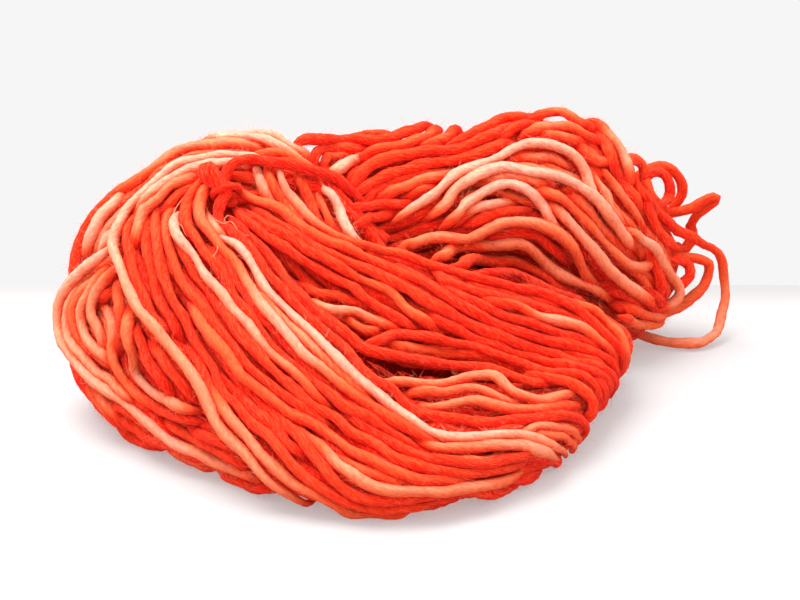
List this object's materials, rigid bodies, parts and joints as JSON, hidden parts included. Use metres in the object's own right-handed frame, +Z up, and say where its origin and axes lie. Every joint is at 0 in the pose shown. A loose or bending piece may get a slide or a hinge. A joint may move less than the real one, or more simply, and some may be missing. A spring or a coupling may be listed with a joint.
{
  "type": "hank of yarn",
  "caption": "Thick soft hand-dyed yarn wound in a hank, tied at its neck and laid down curled, with loose loops at one end.",
  "frame": {"origin": "on the table, under the middle of the hank's box, loose loops included", "axes": "+Z up, +X along the hank's length towards its loose loops, -Y towards the front lobe"},
  "size_m": [0.2662, 0.1927, 0.101],
  "materials": {
    "yarn": "soft matt singles wool, dyed from vermilion to pale peach along its length",
    "tie_yarn": "soft matt singles wool, vermilion"
  },
  "bodies": {
    "root": {"hank": "yarn", "tie": "tie_yarn", "loop_table": "yarn", "loop_tip": "yarn", "loop_small": "yarn", "loop_low": "yarn"}
  },
  "joints": []
}
